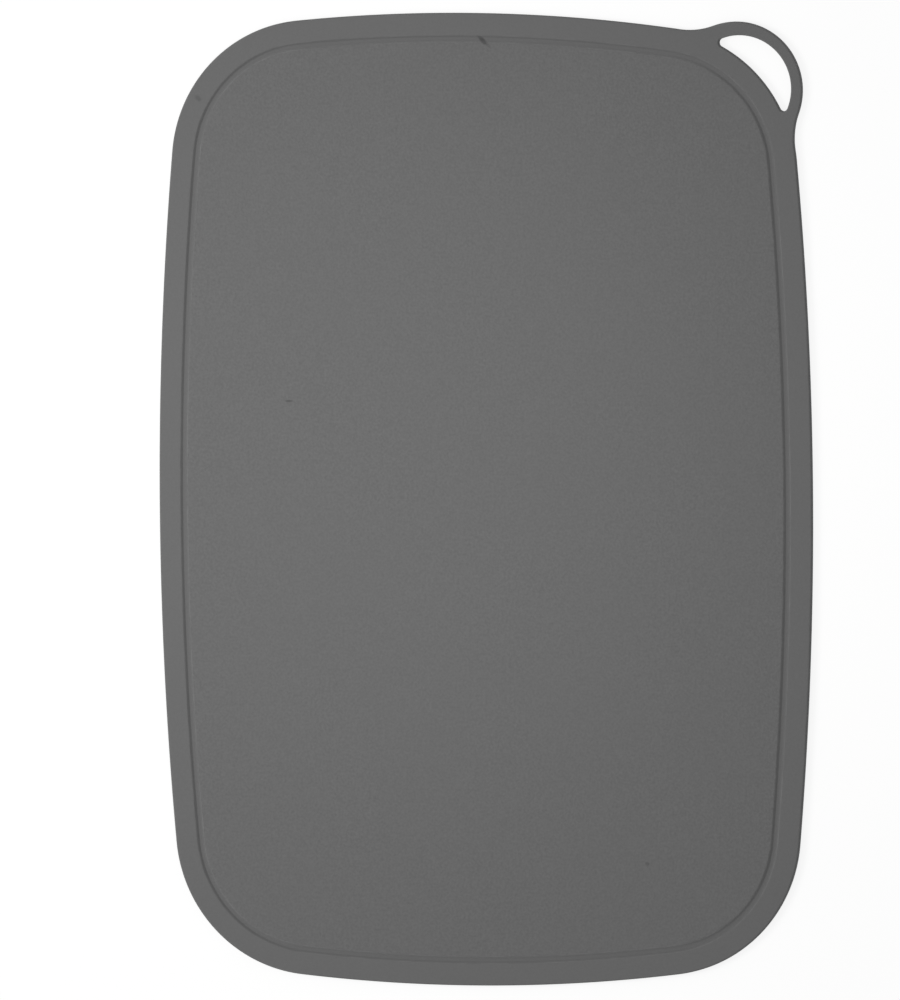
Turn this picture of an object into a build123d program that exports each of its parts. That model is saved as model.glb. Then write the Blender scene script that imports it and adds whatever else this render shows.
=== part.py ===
from build123d import *
import os
from math import atan2, cos, degrees, hypot, radians, sin, sqrt

# Flexible cutting mat: one moulded sheet with a juice groove round its cutting face
# and a hanging loop at one corner. Millimetres.
# The mat lies flat. The origin is under its middle, on the surface that it lies on,
# +X runs across it, +Y along it to the end with the loop, and +Z up out of the cutting face.

# The sheet, whose sides and ends all bow outwards a little
mat_width = 250.0
mat_length = 360.0
thickness = 2.5
side_radius = 1450.0
end_radius = 625.0
end_crown_offset = -7.6         # the ends bow out furthest here, a little off the middle and away from the loop
corner_radius = 53.5
top_edge_radius = 0.6
bottom_edge_radius = 0.5

# The juice groove: from the mat's edge to the middle of the groove, and its section
groove_to_edge = 9.5
groove_mouth_width = 2.8
groove_floor_width = 1.1
groove_depth = 0.7
groove_floor_radius = 0.5
groove_shoulder_radius = 0.6

# The hanging loop. Its middle is on the line that leaves the middle of the corner's arc at this angle
loop_angle = 45.0
loop_inside_corner = 10.1       # from the corner's arc in to the middle of the loop
loop_radius = 25.05
loop_band_width = 5.5
loop_blend_radius = 28.0        # the hollow curves that lead from the mat's edge into the loop
slot_shift_across = 1.35        # the slot lies off the loop's middle, so the band thins towards its tip
slot_shift_along = 0.5
slot_inside_corner = 0.7        # from the corner's arc in to the slot's inner edge
slot_end_radius = 1.65

# How far the groove's cutting shape stands out of the sheet
cut_overrun = 1.0


def arcs_meet(centre_a, radius_a, centre_b, radius_b):
    """The upper right point that lies radius_a from one centre and radius_b from the other."""
    dx, dy = centre_b[0] - centre_a[0], centre_b[1] - centre_a[1]
    apart = hypot(dx, dy)
    along = (radius_a**2 - radius_b**2 + apart**2) / (2 * apart)
    aside = sqrt(radius_a**2 - along**2)
    crossings = [(centre_a[0] + (along * dx - way * aside * dy) / apart,
                  centre_a[1] + (along * dy + way * aside * dx) / apart) for way in (-1, 1)]
    return Vector(*max(crossings, key=sum))


def barrel_corner(width, length, side, end, corner, crown):
    """Centre of the upper right corner's arc, which is tangent to the bowed side and the bowed end."""
    return arcs_meet((width / 2 - side, 0), side - corner, (crown, length / 2 - end), end - corner)


def barrel_quarter(width, length, side, end, corner, crown):
    """The outline from the middle of the right side, round the upper right corner, to the end's crown."""
    middle = barrel_corner(width, length, side, end, corner, crown)
    side_turn = degrees(atan2(middle.Y, middle.X + side - width / 2))
    end_turn = degrees(atan2(middle.Y + end - length / 2, middle.X - crown))
    return Curve() + [
        CenterArc((width / 2 - side, 0), side, 0, side_turn),
        CenterArc(middle, corner, side_turn, end_turn - side_turn),
        CenterArc((crown, length / 2 - end), end, end_turn, 90 - end_turn),
    ]


def barrel(width, length, side, end, corner, crown):
    """Closed outline of tangent arcs, the same at both ends, which bow out furthest at the crown."""
    right = barrel_quarter(width, length, side, end, corner, crown)
    left = mirror(barrel_quarter(width, length, side, end, corner, -crown), about=Plane.YZ)
    half = right + left
    return Wire((half + mirror(half, about=Plane.XZ)).edges())


def mat_outline():
    """The mat from above: the barrel with the loop grown out of its corner, and the slot through the loop."""
    sizes = (mat_width, mat_length, side_radius, end_radius, corner_radius, end_crown_offset)
    corner = barrel_corner(*sizes)
    outwards = Vector(cos(radians(loop_angle)), sin(radians(loop_angle)))
    loop_middle = corner + (corner_radius - loop_inside_corner) * outwards
    mat = make_face(barrel(*sizes)) + Pos(loop_middle) * Rot(Z=loop_angle + 180) * Circle(loop_radius)
    # Grown and shrunk again, the outline keeps its bowed edges and its two hollow corners turn round
    mat = offset(offset(mat, loop_blend_radius), -loop_blend_radius)

    slot_middle = loop_middle + Vector(slot_shift_across, slot_shift_along)
    slot = Pos(slot_middle) * Circle(loop_radius - loop_band_width)
    slot -= Pos(corner) * Circle(corner_radius - slot_inside_corner)
    return mat - fillet(slot.vertices(), slot_end_radius)


def groove_cutter():
    """What the groove takes away: a shallow trough with sloping walls, swept round a smaller barrel."""
    width = mat_width - 2 * groove_to_edge
    path = barrel(width, mat_length - 2 * groove_to_edge, side_radius - groove_to_edge, end_radius - groove_to_edge,
                  corner_radius - groove_to_edge, end_crown_offset)

    wall_slope = (groove_mouth_width - groove_floor_width) / 2 / groove_depth
    mouth = groove_mouth_width / 2 + wall_slope * cut_overrun
    floor = groove_floor_width / 2
    trough = make_face(Polyline((-mouth, cut_overrun), (-floor, -groove_depth), (floor, -groove_depth),
                                (mouth, cut_overrun), close=True))
    trough = fillet(trough.vertices().group_by(Axis.Y)[0], groove_floor_radius)
    start = Plane(origin=(width / 2, 0, 0), x_dir=(1, 0, 0), z_dir=(0, -1, 0))
    return Pos(0, 0, thickness) * sweep(start * trough, path=path)


def cutting_mat():
    sheet = extrude(mat_outline(), thickness)
    sheet = fillet(sheet.edges().group_by(Axis.Z)[-1], top_edge_radius)
    sheet = fillet(sheet.edges().group_by(Axis.Z)[0], bottom_edge_radius)
    cutter = groove_cutter()
    grooved = sheet - cutter
    shoulders = new_edges(sheet, cutter, combined=grooved)
    return fillet(shoulders, groove_shoulder_radius)


os.makedirs("parts", exist_ok=True)
export_step(cutting_mat(), "parts/cutting_mat.step")
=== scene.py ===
import math

import bmesh
import bpy
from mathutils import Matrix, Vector


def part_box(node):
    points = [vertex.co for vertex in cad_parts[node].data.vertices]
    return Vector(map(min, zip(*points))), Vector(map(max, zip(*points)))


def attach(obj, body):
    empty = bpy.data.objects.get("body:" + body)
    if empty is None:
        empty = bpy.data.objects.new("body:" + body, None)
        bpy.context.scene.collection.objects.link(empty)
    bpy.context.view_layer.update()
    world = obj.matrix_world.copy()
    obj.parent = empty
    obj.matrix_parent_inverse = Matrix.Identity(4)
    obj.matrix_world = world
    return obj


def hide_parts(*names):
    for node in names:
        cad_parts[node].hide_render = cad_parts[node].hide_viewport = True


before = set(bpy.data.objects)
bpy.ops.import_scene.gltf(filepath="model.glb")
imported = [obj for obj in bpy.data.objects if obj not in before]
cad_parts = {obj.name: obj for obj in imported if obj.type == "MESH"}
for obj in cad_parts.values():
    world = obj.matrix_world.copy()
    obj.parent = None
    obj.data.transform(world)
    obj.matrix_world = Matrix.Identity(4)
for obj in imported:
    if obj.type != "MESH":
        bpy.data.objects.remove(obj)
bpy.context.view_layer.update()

mm = 0.001  # metres in a millimetre

# Rebuilds the flexible cutting mat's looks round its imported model: one moulded sheet with bowed sides,
# a juice groove round the cutting face and a hanging loop at one corner. It lies flat on a white floor.

# The mat, in millimetres. Its width, length and thickness come from the frame
mat = {
    "node": "cutting_mat",
    "body": "root",
    "slot": "mat_plastic",
    "sideRadius": 1450.0,
    "endRadius": 625.0,
    "endCrownOffset": -7.6,
    "cornerRadius": 53.5,
    "topEdgeRadius": 0.6,
    "bottomEdgeRadius": 0.5,
    "grooveToEdge": 9.5,
    "grooveMouthWidth": 2.8,
    "grooveFloorWidth": 1.1,
    "grooveDepth": 0.7,
    "grooveFloorRadius": 0.5,
    "grooveShoulderRadius": 0.6,
    "loopAngle": 45.0,
    "loopInsideCorner": 10.1,
    "loopRadius": 25.05,
    "loopBandWidth": 5.5,
    "loopBlendRadius": 28.0,
    "slotShiftAcross": 1.35,
    "slotShiftAlong": 0.5,
    "slotInsideCorner": 0.7,
    "slotEndRadius": 1.65,
    "lineStep": 1.6,      # along the bowed edges
    "arcStep": 5.0,       # degrees, round the tighter curves
    "roundSteps": 6,      # faces round each edge of a section
    "flatStrip": 0.2,     # a flat strip beside each rounded edge keeps the shading of the faces level
    "weldDistance": 0.005,
}


# Lines that the sections follow

def circlesMeet(centreA, radiusA, centreB, radiusB, side):
    # One of the two points that lie radiusA and radiusB from two centres.
    # Side 1 is left of the way from A to B
    apart = centreB - centreA
    along = (radiusA ** 2 - radiusB ** 2 + apart.length_squared) / (2 * apart.length)
    aside = side * math.sqrt(radiusA ** 2 - along ** 2)
    ahead = apart.normalized()
    return centreA + along * ahead + aside * Vector((-ahead.y, ahead.x))


def roundChain(circles, step):
    # Walks a closed chain of tangent circles, leftwards round, with a negative radius where the line
    # is hollow. Neighbours share one normal where they meet, along the line through their centres
    normals = []
    for (centreA, radiusA), (centreB, radiusB) in zip(circles, circles[1:] + circles[:1]):
        normals.append((centreB - centreA) / (radiusA - radiusB))
    points = []
    for index, (centre, radius) in enumerate(circles):
        first, last = normals[index - 1], normals[index]
        turn = last.angle_signed(first)
        byLength, byTurn = abs(turn * radius) / step, abs(math.degrees(turn)) / mat["arcStep"]
        count = max(2, math.ceil(byLength), math.ceil(byTurn))
        start = math.atan2(first.y, first.x)
        for share in range(count):
            angle = start + turn * share / count
            points.append(centre + radius * Vector((math.cos(angle), math.sin(angle))))
    return points


def barrelChain(width, length, side, end, corner):
    # Circles of a barrel outline, from the right side round to the lower right corner
    crown = mat["endCrownOffset"]
    rightSide, leftSide = Vector((width / 2 - side, 0)), Vector((side - width / 2, 0))
    topEnd, bottomEnd = Vector((crown, length / 2 - end)), Vector((crown, end - length / 2))
    right = circlesMeet(rightSide, side - corner, topEnd, end - corner, 1)
    left = circlesMeet(leftSide, side - corner, topEnd, end - corner, -1)
    lowerLeft, lowerRight = Vector((left.x, -left.y)), Vector((right.x, -right.y))
    return [
        (rightSide, side), (right, corner), (topEnd, end), (left, corner),
        (leftSide, side), (lowerLeft, corner), (bottomEnd, end), (lowerRight, corner),
    ]


def matLines(width, length):
    # The three closed lines: the outer edge with its loop, the slot's edge and the middle of the groove
    sheet = barrelChain(width, length, mat["sideRadius"], mat["endRadius"], mat["cornerRadius"])
    corner, cornerRadius = sheet[1]
    angle = math.radians(mat["loopAngle"])
    outwards = Vector((math.cos(angle), math.sin(angle)))
    loop, loopRadius = corner + (cornerRadius - mat["loopInsideCorner"]) * outwards, mat["loopRadius"]
    blend = mat["loopBlendRadius"]
    lower, upper = [circlesMeet(corner, cornerRadius + blend, loop, loopRadius + blend, side)
                    for side in (-1, 1)]
    outerEdge = sheet[:2] + [(lower, -blend), (loop, loopRadius), (upper, -blend)] + sheet[1:]

    slot = loop + Vector((mat["slotShiftAcross"], mat["slotShiftAlong"]))
    slotRadius, innerRadius = loopRadius - mat["loopBandWidth"], cornerRadius - mat["slotInsideCorner"]
    tip = mat["slotEndRadius"]
    tips = [circlesMeet(corner, innerRadius + tip, slot, slotRadius - tip, side) for side in (1, -1)]
    slotEdge = [(slot, slotRadius), (tips[0], tip), (corner, -innerRadius), (tips[1], tip)]

    inwards = mat["grooveToEdge"]
    groove = barrelChain(width - 2 * inwards, length - 2 * inwards, mat["sideRadius"] - inwards,
                         mat["endRadius"] - inwards, mat["cornerRadius"] - inwards)
    step = mat["lineStep"]
    # The slot's line runs the other way round, so that the plastic is on the left of every line
    return [roundChain(outerEdge, step), roundChain(slotEdge, step)[::-1], roundChain(groove, step)]


def wireMesh(lines):
    # A mesh of bare edges along the lines, whose points know whether they are the groove's, the last line's
    mesh = bpy.data.meshes.new("mat_lines")
    vertices, edges, isGroove = [], [], []
    for line in lines:
        first = len(vertices)
        vertices += [(point.x * mm, point.y * mm, 0) for point in line]
        edges += [(first + i, first + (i + 1) % len(line)) for i in range(len(line))]
        isGroove += [line is lines[-1]] * len(line)
    mesh.from_pydata(vertices, edges, [])
    mesh.attributes.new("isGroove", "BOOLEAN", "POINT").data.foreach_set("value", isGroove)
    return mesh


# Small helpers for node trees

def plug(tree, value, socket):
    # Links an output, or sets a plain value
    if isinstance(value, bpy.types.NodeSocket):
        tree.links.new(value, socket)
    else:
        socket.default_value = value


def nodeMaker(tree):
    def make(kind, inputs=None, **settings):
        node = tree.nodes.new(kind)
        for name, value in settings.items():
            setattr(node, name, value)
        for name, value in (inputs or {}).items():
            plug(tree, value, node.inputs[name])
        return node
    return make


def mathMaker(tree):
    def maths(operation, *values):
        node = tree.nodes.new("ShaderNodeMath")
        node.operation = operation
        for index, value in enumerate(values):
            plug(tree, value, node.inputs[index])
        return node.outputs[0]
    return maths


def newSockets(tree, inputs, outputs):
    for direction, sockets in (("INPUT", inputs), ("OUTPUT", outputs)):
        for name, kind, value in sockets:
            socket = tree.interface.new_socket(name, in_out=direction, socket_type="NodeSocket" + kind)
            if value is not None:
                socket.default_value = value


# The sheet: its sections swept along the lines, and the flat faces filled in between

def sectionCurve(make, corners, steps):
    # The section's corners in order, each with its place across and down and its rounding
    line = make("GeometryNodeMeshLine", {"Count": len(corners)}).outputs[0]
    curve = make("GeometryNodeMeshToCurve", {"Mesh": line}).outputs[0]
    index = make("GeometryNodeInputIndex").outputs[0]
    place = make("GeometryNodeIndexSwitch", {"Index": index}, data_type="VECTOR")
    rounding = make("GeometryNodeIndexSwitch", {"Index": index}, data_type="FLOAT")
    for _ in corners[2:]:
        place.index_switch_items.new()
        rounding.index_switch_items.new()
    for number, (across, down, radius) in enumerate(corners, 1):
        point = make("ShaderNodeCombineXYZ", {"X": across, "Y": down}).outputs[0]
        plug(place.id_data, point, place.inputs[number])
        plug(place.id_data, radius, rounding.inputs[number])
    curve = make("GeometryNodeSetPosition", {"Geometry": curve, "Position": place.outputs[0]}).outputs[0]
    return make("GeometryNodeFilletCurve", {"Curve": curve, "Count": steps, "Radius": rounding.outputs[0]},
                mode="POLY").outputs[0]


def sheetTree():
    steepestUnderside = -0.5  # what faces down at least as much as this is the underside
    tree = bpy.data.node_groups.new("mat sheet", "GeometryNodeTree")
    newSockets(tree, [
        ("Geometry", "Geometry", None),
        ("Thickness", "Float", 0.0),
        ("Top Edge Radius", "Float", 0.0),
        ("Bottom Edge Radius", "Float", 0.0),
        ("Groove Mouth Width", "Float", 0.0),
        ("Groove Floor Width", "Float", 0.0),
        ("Groove Depth", "Float", 0.0),
        ("Groove Floor Radius", "Float", 0.0),
        ("Groove Shoulder Radius", "Float", 0.0),
        ("Flat Strip", "Float", 0.0),
        ("Weld Distance", "Float", 0.0),
        ("Round Steps", "Int", 1),
        ("Face Material", "Material", None),
        ("Underside Material", "Material", None),
    ], [("Geometry", "Geometry", None)])
    make, maths = nodeMaker(tree), mathMaker(tree)
    given = make("NodeGroupInput").outputs

    def compare(a, operation, b):
        node = make("FunctionNodeCompare", operation=operation, data_type="FLOAT")
        plug(tree, a, node.inputs[0])
        plug(tree, b, node.inputs[1])
        return node.outputs[0]

    def joined(*parts):
        node = make("GeometryNodeJoinGeometry")
        for part in parts:
            tree.links.new(part, node.inputs[0])
        return node.outputs[0]

    # Across is to the right of the line's way, out of the plastic, and down is below the line
    thickness, strip, steps = given["Thickness"], given["Flat Strip"], given["Round Steps"]
    topInner = maths("MULTIPLY", maths("ADD", given["Top Edge Radius"], strip), -1.0)
    bottomInner = maths("MULTIPLY", maths("ADD", given["Bottom Edge Radius"], strip), -1.0)
    up = maths("MULTIPLY", thickness, -1.0)
    edgeSection = sectionCurve(make, [
        (topInner, up, 0.0), (0.0, up, given["Top Edge Radius"]),
        (0.0, 0.0, given["Bottom Edge Radius"]), (bottomInner, 0.0, 0.0)], steps)
    mouth = maths("MULTIPLY", given["Groove Mouth Width"], 0.5)
    floor = maths("MULTIPLY", given["Groove Floor Width"], 0.5)
    shoulder, depth = given["Groove Shoulder Radius"], given["Groove Depth"]
    # The section's ends lie past the shoulders' rounding
    land = maths("ADD", maths("MULTIPLY_ADD", shoulder, 0.5, mouth), strip)
    grooveSection = sectionCurve(make, [
        (maths("MULTIPLY", land, -1.0), 0.0, 0.0), (maths("MULTIPLY", mouth, -1.0), 0.0, shoulder),
        (maths("MULTIPLY", floor, -1.0), depth, given["Groove Floor Radius"]),
        (floor, depth, given["Groove Floor Radius"]), (mouth, 0.0, shoulder), (land, 0.0, 0.0)], steps)

    def sweep(lines, section):
        curve = make("GeometryNodeMeshToCurve", {"Mesh": lines}).outputs[0]
        level = make("GeometryNodeSetCurveNormal", {"Curve": curve}, mode="Z_UP").outputs[0]
        return make("GeometryNodeCurveToMesh", {"Curve": level, "Profile Curve": section}).outputs[0]

    def store(geometry, name, value):
        return make("GeometryNodeStoreNamedAttribute", {"Geometry": geometry, "Name": name, "Value": value},
                    data_type="FLOAT", domain="POINT").outputs[0]

    isGroove = make("GeometryNodeInputNamedAttribute", {"Name": "isGroove"}, data_type="BOOLEAN").outputs[0]
    split = make("GeometryNodeSeparateGeometry",
                 {"Geometry": given["Geometry"], "Selection": isGroove}).outputs
    position = make("GeometryNodeInputPosition").outputs[0]
    height = make("ShaderNodeSeparateXYZ", {"Vector": position}).outputs["Z"]
    lift = make("ShaderNodeCombineXYZ", {"Z": thickness}).outputs[0]
    # The trough's points know how deep they are sunk, from 0 at its lips to 1 on its floor
    sunk = maths("DIVIDE", height, maths("MULTIPLY", depth, -1.0))
    trough = store(sweep(split[0], grooveSection), "sunk", sunk)
    trough = make("GeometryNodeTransform", {"Geometry": trough, "Translation": lift}).outputs[0]
    swept = joined(sweep(split[1], edgeSection), trough)

    # The open edges of what is swept bound the flat faces
    neighbours = make("GeometryNodeInputMeshEdgeNeighbors").outputs[0]
    isOpen = make("FunctionNodeCompare", {"A": neighbours, "B": 1}, data_type="INT",
                  operation="EQUAL").outputs[0]
    isHigh = compare(height, "GREATER_THAN", maths("MULTIPLY", thickness, 0.5))

    def flatFace(which):
        boundary = make("FunctionNodeBooleanMath", {0: isOpen, 1: isHigh}, operation=which).outputs[0]
        curve = make("GeometryNodeMeshToCurve", {"Mesh": swept, "Selection": boundary}).outputs[0]
        return make("GeometryNodeFillCurve", {"Curve": curve}, mode="TRIANGLES").outputs[0]

    face = make("GeometryNodeTransform", {"Geometry": flatFace("AND"), "Translation": lift}).outputs[0]
    underside = make("GeometryNodeFlipFaces", {"Mesh": flatFace("NIMPLY")}).outputs[0]
    whole = make("GeometryNodeMergeByDistance", {"Geometry": joined(swept, face, underside),
                                                 "Distance": given["Weld Distance"]}).outputs[0]
    whole = make("GeometryNodeSetShadeSmooth", {"Geometry": whole}).outputs[0]

    # Each point knows how far its surface leans from level, and how far of that towards the mat's ends,
    # and whether it is over the cutting field, inside the groove's line, or on the rim
    normal = make("GeometryNodeInputNormal").outputs[0]
    normal = make("ShaderNodeSeparateXYZ", {"Vector": normal}).outputs
    facing = normal["Z"]
    whole = store(whole, "lean", maths("SUBTRACT", 1.0, maths("ABSOLUTE", facing)))
    whole = store(whole, "endLean", maths("POWER", normal["Y"], 2.0))
    grooveLine = make("GeometryNodeMeshToCurve", {"Mesh": split[0]}).outputs[0]
    inside = make("GeometryNodeFillCurve", {"Curve": grooveLine}).outputs[0]
    below = make("GeometryNodeRaycast", {"Target Geometry": inside, "Ray Direction": (0, 0, -1)})
    whole = store(whole, "field", below.outputs["Is Hit"])
    whole = make("GeometryNodeRealizeInstances", {"Geometry": whole}).outputs[0]
    facesDown = compare(facing, "LESS_THAN", steepestUnderside)
    for material, selection in (given["Face Material"], True), (given["Underside Material"], facesDown):
        whole = make("GeometryNodeSetMaterial", {"Geometry": whole, "Selection": selection,
                                                 "Material": material}).outputs[0]
    make("NodeGroupOutput", {"Geometry": whole})
    return tree


def makeSheet(faceMaterial, undersideMaterial):
    low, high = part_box(mat["node"])
    lines = matLines((high.x - low.x) / mm, (high.y - low.y) / mm)
    blank = bpy.data.objects.new("mat_blank", wireMesh(lines))
    bpy.context.scene.collection.objects.link(blank)
    modifier = blank.modifiers.new("sheet", "NODES")
    modifier.node_group = sheetTree()
    values = {
        "Thickness": high.z - low.z,
        "Top Edge Radius": mat["topEdgeRadius"] * mm,
        "Bottom Edge Radius": mat["bottomEdgeRadius"] * mm,
        "Groove Mouth Width": mat["grooveMouthWidth"] * mm,
        "Groove Floor Width": mat["grooveFloorWidth"] * mm,
        "Groove Depth": mat["grooveDepth"] * mm,
        "Groove Floor Radius": mat["grooveFloorRadius"] * mm,
        "Groove Shoulder Radius": mat["grooveShoulderRadius"] * mm,
        "Flat Strip": mat["flatStrip"] * mm,
        "Weld Distance": mat["weldDistance"] * mm,
        "Round Steps": mat["roundSteps"],
        "Face Material": faceMaterial,
        "Underside Material": undersideMaterial,
    }
    for item in modifier.node_group.interface.items_tree:
        if item.name in values and item.in_out == "INPUT":
            modifier[item.identifier] = values[item.name]
    evaluated = blank.evaluated_get(bpy.context.evaluated_depsgraph_get())
    mesh = bpy.data.meshes.new_from_object(evaluated)
    mesh.name = "mat_sheet"
    bpy.data.objects.remove(blank)
    piece = bpy.data.objects.new("mat_sheet", mesh)
    bpy.context.scene.collection.objects.link(piece)
    return piece


def describeMesh(piece):
    work = bmesh.new()
    work.from_mesh(piece.data)
    openEdges = sum(not edge.is_manifold for edge in work.edges)
    triangles = sum(len(face.verts) - 2 for face in work.faces)
    volume = round(work.calc_volume(signed=True) / mm ** 3)
    print(piece.name, triangles, "triangles,", openEdges, "open edges,", volume, "cubic millimetres")
    work.free()


# Shader groups for the moulded plastic. Their outputs feed base colour, roughness and bump height

noiseMiddle = 0.5  # what a noise texture comes to on average


def newShaderGroup(name, inputs, outputs):
    tree = bpy.data.node_groups.new(name, "ShaderNodeTree")
    newSockets(tree, inputs, outputs)
    make = nodeMaker(tree)
    return tree, make, mathMaker(tree), make("NodeGroupInput").outputs


def mouldGrainGroup():
    # The fine eroded texture that a mould leaves: pits and bumps of one size, with finer ones between them
    finerTimes = 2.7
    tree, make, maths, given = newShaderGroup(
        "mould grain",
        [("Vector", "Vector", None), ("Grains Per Metre", "Float", 2000.0), ("Fineness", "Float", 0.5)],
        [("Height", "Float", None), ("Shade", "Float", None)])
    coarse = make("ShaderNodeTexNoise", {"Vector": given["Vector"], "Scale": given["Grains Per Metre"],
                                         "Detail": 1.0, "Roughness": given["Fineness"]}).outputs["Fac"]
    fineScale = maths("MULTIPLY", given["Grains Per Metre"], finerTimes)
    fine = make("ShaderNodeTexNoise",
                {"Vector": given["Vector"], "Scale": fineScale, "Detail": 0.0}).outputs["Fac"]
    height = maths("MULTIPLY_ADD", fine, given["Fineness"], coarse)
    shade = maths("SUBTRACT", coarse, noiseMiddle)
    make("NodeGroupOutput", {"Height": height, "Shade": shade})
    return tree


def softMottleGroup():
    # Broad, weak tone differences, as plastic that cooled unevenly has, centred on zero
    tree, make, maths, given = newShaderGroup(
        "soft mottle",
        [("Vector", "Vector", None), ("Patches Per Metre", "Float", 20.0)],
        [("Shade", "Float", None)])
    broad = make("ShaderNodeTexNoise", {"Vector": given["Vector"], "Scale": given["Patches Per Metre"],
                                        "Detail": 2.0, "Distortion": 0.6}).outputs["Fac"]
    make("NodeGroupOutput", {"Shade": maths("SUBTRACT", broad, noiseMiddle)})
    return tree


def edgeWearGroup():
    # Rubbed edges: near the flat face's level, where the surface leans away from it, in broken patches
    slightLean, fullLean = 0.003, 0.06
    whole, worn = 0.4, 0.6  # what the patches' noise comes to where the edge is whole, and where it is worn
    tree, make, maths, given = newShaderGroup(
        "edge wear",
        [("Vector", "Vector", None), ("Lean", "Float", 0.0), ("Level", "Float", 0.0),
         ("Reach", "Float", 0.0005), ("Patches Per Metre", "Float", 150.0)],
        [("Wear", "Float", None)])
    height = make("ShaderNodeSeparateXYZ", {"Vector": given["Vector"]}).outputs["Z"]
    below = maths("SUBTRACT", given["Level"], height)
    near = make("ShaderNodeMapRange", {"Value": maths("DIVIDE", below, given["Reach"]), "From Min": 1.0,
                                       "From Max": 0.0}, interpolation_type="SMOOTHSTEP").outputs[0]
    leaning = make("ShaderNodeMapRange", {"Value": given["Lean"], "From Min": slightLean,
                                          "From Max": fullLean}, interpolation_type="SMOOTHSTEP").outputs[0]
    patches = make("ShaderNodeTexNoise", {"Vector": given["Vector"], "Scale": given["Patches Per Metre"],
                                          "Detail": 3.0, "Roughness": 0.6}).outputs["Fac"]
    broken = make("ShaderNodeMapRange", {"Value": patches, "From Min": whole, "From Max": worn}).outputs[0]
    make("NodeGroupOutput", {"Wear": maths("MULTIPLY", maths("MULTIPLY", near, leaning), broken)})
    return tree


def surfaceMarkGroup():
    # One small dark mark on the face: a ragged oval of its own length and width, turned to its own angle
    rim, core = 1.0, 0.35  # shares of the oval, from where it starts to darken to where it is darkest
    lumpsAcross = 1.8
    tree, make, maths, given = newShaderGroup(
        "surface mark",
        [("Vector", "Vector", None), ("Place", "Vector", None), ("Turn", "Vector", None),
         ("Size", "Vector", None), ("Raggedness", "Float", 0.4)],
        [("Mark", "Float", None)])
    local = make("ShaderNodeMapping", {"Vector": given["Vector"], "Location": given["Place"],
                                       "Rotation": given["Turn"], "Scale": given["Size"]},
                 vector_type="TEXTURE").outputs[0]
    rough = make("ShaderNodeTexNoise", {"Vector": local, "Scale": lumpsAcross, "Detail": 2.0}).outputs["Fac"]
    distance = make("ShaderNodeVectorMath", {0: local}, operation="LENGTH").outputs["Value"]
    edge = maths("MULTIPLY_ADD", maths("SUBTRACT", rough, noiseMiddle), given["Raggedness"], distance)
    mark = make("ShaderNodeMapRange", {"Value": edge, "From Min": rim, "From Max": core},
                interpolation_type="SMOOTHSTEP").outputs[0]
    make("NodeGroupOutput", {"Mark": mark})
    return tree


groups = {
    "grain": mouldGrainGroup(),
    "mottle": softMottleGroup(),
    "wear": edgeWearGroup(),
    "mark": surfaceMarkGroup(),
}

# The two finishes of the moulding. Lengths are in millimetres
faceFinish = {
    "grey": 0.136,
    "roughness": 0.6,
    "specular": 0.2,
    "grainSize": 0.9,
    "rimGrainShare": 0.35,    # the rim and the groove are smoother than the cutting field
    "grainPatchiness": 0.9,   # the field's grain is fainter in some patches
    "fineness": 0.4,
    "grainHeight": 0.12,
    "grainShade": 0.32,
    "clusterPatch": 5.0,      # the grains cluster a little
    "clusterShade": 0.05,
    "mottlePatch": 45.0,
    "mottleShade": 0.05,
    "mottleRoughness": 0.10,
    "wearReach": 0.45,
    "wearPatch": 9.0,
    "wearShade": 0.15,
    "wearRoughness": -0.12,
    "paintedLightByLean": 0.22,         # painted light: the groove's inner wall is painted paler, by how far it leans
    "paintedLightTowardsEnds": 0.52,      # painted light: paler still where that wall leans towards the mat's ends
    "paintedGrooveShade": -0.01,     # painted shade: a little darker the deeper the surface lies in the groove
    "grooveRoughness": 0.06,
}
undersideFinish = {
    "grey": 0.125,
    "roughness": 0.7,
    "specular": 0.25,
    "grainSize": 0.9,
    "fineness": 0.6,
    "grainHeight": 0.03,
    "grainShade": 0.12,
    "mottlePatch": 60.0,
    "mottleShade": 0.06,
    "mottleRoughness": 0.08,
}

# Small scuffs and specks: place on the face from the middle, length, width and turn, and how dark
marks = [
    {"place": (0.0, 169.95), "length": 6.2, "width": 2.2, "turn": -43.0, "depth": 0.5},
    {"place": (2.2, 168.2), "length": 4.6, "width": 1.8, "turn": -48.0, "depth": 0.14},
    {"place": (-109.1, 147.8), "length": 4.0, "width": 2.4, "turn": -40.0, "depth": 0.22},
    {"place": (-74.8, 35.9), "length": 4.2, "width": 1.0, "turn": 0.0, "depth": 0.36},
    {"place": (61.5, -134.0), "length": 2.4, "width": 1.7, "turn": -40.0, "depth": 0.26},
    {"place": (10.1, 66.6), "length": 1.8, "width": 1.2, "turn": -15.0, "depth": 0.12},
    {"place": (22.4, -129.3), "length": 1.9, "width": 1.2, "turn": 60.0, "depth": 0.1},
]


def perMetre(size):
    return 1 / (size * mm)


def newMaterial(name):
    material = bpy.data.materials.new(name)
    material.use_nodes = True
    tree = material.node_tree
    make = nodeMaker(tree)

    def place(group, inputs):
        node = make("ShaderNodeGroup", node_tree=groups[group])
        for socket, value in inputs.items():
            plug(tree, value, node.inputs[socket])
        return node.outputs
    return material, tree, make, mathMaker(tree), place


def dress(tree, make, maths, finish, shade, roughness, height):
    # The plastic's own shader, with its even values set on it and the varying ones linked
    shader = tree.nodes["Principled BSDF"]
    shader.inputs["Specular IOR Level"].default_value = finish["specular"]
    level = maths("MULTIPLY_ADD", shade, finish["grey"], finish["grey"])
    tree.links.new(level, shader.inputs["Base Color"])
    tree.links.new(maths("ADD", roughness, finish["roughness"]), shader.inputs["Roughness"])
    bump = make("ShaderNodeBump", {"Distance": finish["grainHeight"] * mm, "Height": height})
    tree.links.new(bump.outputs[0], shader.inputs["Normal"])


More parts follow.
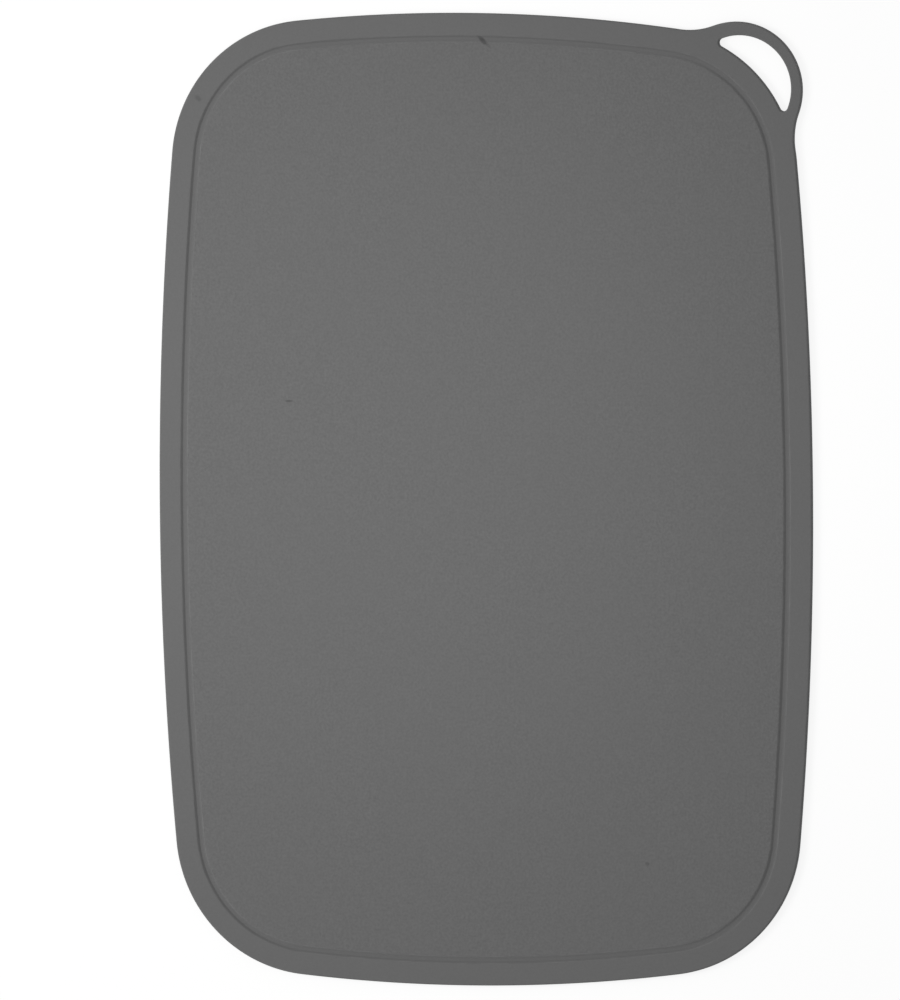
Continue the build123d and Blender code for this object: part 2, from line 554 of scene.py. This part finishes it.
def faceMaterial(thickness):
    finish = faceFinish
    material, tree, make, maths, place = newMaterial("mat face")
    here = make("ShaderNodeTexCoord").outputs["Object"]
    lean, endLean, field, sunk = [make("ShaderNodeAttribute", attribute_name=name).outputs["Fac"]
                                  for name in ("lean", "endLean", "field", "sunk")]
    grain = place("grain", {"Vector": here, "Grains Per Metre": perMetre(finish["grainSize"]),
                            "Fineness": finish["fineness"]})
    mottle = place("mottle", {"Vector": here, "Patches Per Metre": perMetre(finish["mottlePatch"])})["Shade"]
    grained = maths("MULTIPLY", field, maths("SUBTRACT", 1.0, sunk))
    share = maths("MULTIPLY_ADD", grained, 1.0 - finish["rimGrainShare"], finish["rimGrainShare"])
    share = maths("MULTIPLY", share, maths("MULTIPLY_ADD", mottle, finish["grainPatchiness"], 1.0))
    grainShade = maths("MULTIPLY", grain["Shade"], share)
    grainHeight = maths("MULTIPLY", grain["Height"], share)
    wear = place("wear", {"Vector": here, "Lean": lean, "Level": thickness,
                          "Reach": finish["wearReach"] * mm,
                          "Patches Per Metre": perMetre(finish["wearPatch"])})["Wear"]
    cluster = place("mottle", {"Vector": here,
                               "Patches Per Metre": perMetre(finish["clusterPatch"])})["Shade"]
    shade = maths("MULTIPLY", mottle, finish["mottleShade"])
    shade = maths("MULTIPLY_ADD", grainShade, finish["grainShade"], shade)
    shade = maths("MULTIPLY_ADD", maths("MULTIPLY", cluster, share), finish["clusterShade"], shade)
    shade = maths("MULTIPLY_ADD", wear, finish["wearShade"], shade)
    # Painted shade: darker by how deep the surface is sunk in the groove
    shade = maths("MULTIPLY_ADD", sunk, finish["paintedGrooveShade"], shade)
    # Painted light: the groove's inner wall is painted paler by its lean, and more where it leans towards
    # the mat's ends
    paintedWallLight = maths("MULTIPLY_ADD", endLean, finish["paintedLightTowardsEnds"], maths("MULTIPLY", lean, finish["paintedLightByLean"]))
    shade = maths("MULTIPLY_ADD", paintedWallLight, field, shade)
    for mark in marks:
        spot = place("mark", {
            "Vector": here, "Place": (mark["place"][0] * mm, mark["place"][1] * mm, thickness),
            "Turn": (0, 0, math.radians(mark["turn"])),
            "Size": (mark["length"] / 2 * mm, mark["width"] / 2 * mm, thickness)})["Mark"]
        shade = maths("MULTIPLY_ADD", spot, -mark["depth"], shade)
    roughness = maths("MULTIPLY", mottle, finish["mottleRoughness"])
    roughness = maths("MULTIPLY_ADD", wear, finish["wearRoughness"], roughness)
    roughness = maths("MULTIPLY_ADD", sunk, finish["grooveRoughness"], roughness)
    dress(tree, make, maths, finish, shade, roughness, grainHeight)
    return material


def undersideMaterial():
    finish = undersideFinish
    material, tree, make, maths, place = newMaterial("mat underside")
    here = make("ShaderNodeTexCoord").outputs["Object"]
    grain = place("grain", {"Vector": here, "Grains Per Metre": perMetre(finish["grainSize"]),
                            "Fineness": finish["fineness"]})
    mottle = place("mottle", {"Vector": here, "Patches Per Metre": perMetre(finish["mottlePatch"])})["Shade"]
    shade = maths("MULTIPLY", mottle, finish["mottleShade"])
    shade = maths("MULTIPLY_ADD", grain["Shade"], finish["grainShade"], shade)
    roughness = maths("MULTIPLY", mottle, finish["mottleRoughness"])
    dress(tree, make, maths, finish, shade, roughness, grain["Height"])
    return material


print("materials")
low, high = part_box(mat["node"])
face, underside = faceMaterial(high.z), undersideMaterial()

print("sheet")
sheet = makeSheet(face, underside)
describeMesh(sheet)
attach(sheet, mat["body"])
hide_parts(mat["node"])


# The camera stands where the photograph was taken from, far off on the right, with a long lens
camera = {
    "place": (3.184, 0.7076, 11.5443),
    "turn": (-3.4731, 15.4639, -0.3413),  # degrees
    "lens": 1168.79,
}


def makeCamera():
    lens = bpy.data.cameras.new("camera")
    lens.lens = camera["lens"]
    viewer = bpy.data.objects.new("camera", lens)
    viewer.location = camera["place"]
    viewer.rotation_euler = [math.radians(angle) for angle in camera["turn"]]
    bpy.context.scene.collection.objects.link(viewer)
    bpy.context.scene.camera = viewer


# A soft lamp on the left, a weak soft pool of light from straight above, an even fill,
# and a floor and surroundings that show as white
sideLamp = {"place": (-1.0, 0.05, 0.9), "size": 0.5, "power": 7.37}
overheadLamp = {"place": (-0.043, 0.031, 3.0), "radius": 0.1, "cone": 8.7, "softness": 1.0, "power": 73.0}
fill = 0.53
ground = {"halfWidth": 40.0, "albedo": 0.2, "glow": 0.83}


def whiteToSight(tree, make):
    # One for rays from the camera, and for those that a shiny or clear surface sends on
    maths, path = mathMaker(tree), make("ShaderNodeLightPath").outputs
    seen = maths("MAXIMUM", path["Is Camera Ray"], path["Is Glossy Ray"])
    return maths("MAXIMUM", seen, path["Is Transmission Ray"])


def makeLamps():
    side = bpy.data.lights.new("side lamp", "AREA")
    side.shape = "SQUARE"
    side.size = sideLamp["size"]
    overhead = bpy.data.lights.new("overhead lamp", "SPOT")
    overhead.shadow_soft_size = overheadLamp["radius"]
    overhead.spot_size = math.radians(overheadLamp["cone"])
    overhead.spot_blend = overheadLamp["softness"]
    towardsMat, straightDown = -Vector(sideLamp["place"]), Vector((0, 0, -1))
    for data, lamp, way in (side, sideLamp, towardsMat), (overhead, overheadLamp, straightDown):
        data.energy = lamp["power"]
        thing = bpy.data.objects.new(data.name, data)
        thing.location = lamp["place"]
        thing.rotation_euler = way.to_track_quat("-Z", "Y").to_euler()
        thing.visible_camera = False
        bpy.context.scene.collection.objects.link(thing)


def makeFloor():
    half, albedo = ground["halfWidth"], ground["albedo"]
    mesh = bpy.data.meshes.new("floor")
    corners = [(-half, -half, 0), (half, -half, 0), (half, half, 0), (-half, half, 0)]
    mesh.from_pydata(corners, [], [(0, 1, 2, 3)])
    floor = bpy.data.objects.new("floor", mesh)
    bpy.context.scene.collection.objects.link(floor)
    material = bpy.data.materials.new("floor")
    material.use_nodes = True
    tree = material.node_tree
    shader = tree.nodes["Principled BSDF"]
    shader.inputs["Base Color"].default_value = (albedo, albedo, albedo, 1)
    shader.inputs["Roughness"].default_value = 1.0
    shader.inputs["Specular IOR Level"].default_value = 0.0
    shader.inputs["Emission Color"].default_value = (1, 1, 1, 1)
    glow = mathMaker(tree)("MULTIPLY", whiteToSight(tree, nodeMaker(tree)), ground["glow"])
    tree.links.new(glow, shader.inputs["Emission Strength"])
    mesh.materials.append(material)


def makeSurroundings():
    world = bpy.data.worlds.new("surroundings")
    bpy.context.scene.world = world
    world.use_nodes = True
    tree = world.node_tree
    make = nodeMaker(tree)
    strength = make("ShaderNodeMapRange", {"Value": whiteToSight(tree, make), "To Min": fill,
                                           "To Max": 1.0}).outputs[0]
    background = tree.nodes["Background"]
    background.inputs["Color"].default_value = (1, 1, 1, 1)
    tree.links.new(strength, background.inputs["Strength"])


print("camera, light and floor")
makeCamera()
makeLamps()
makeFloor()
makeSurroundings()
bpy.context.scene.view_settings.view_transform = "Standard"
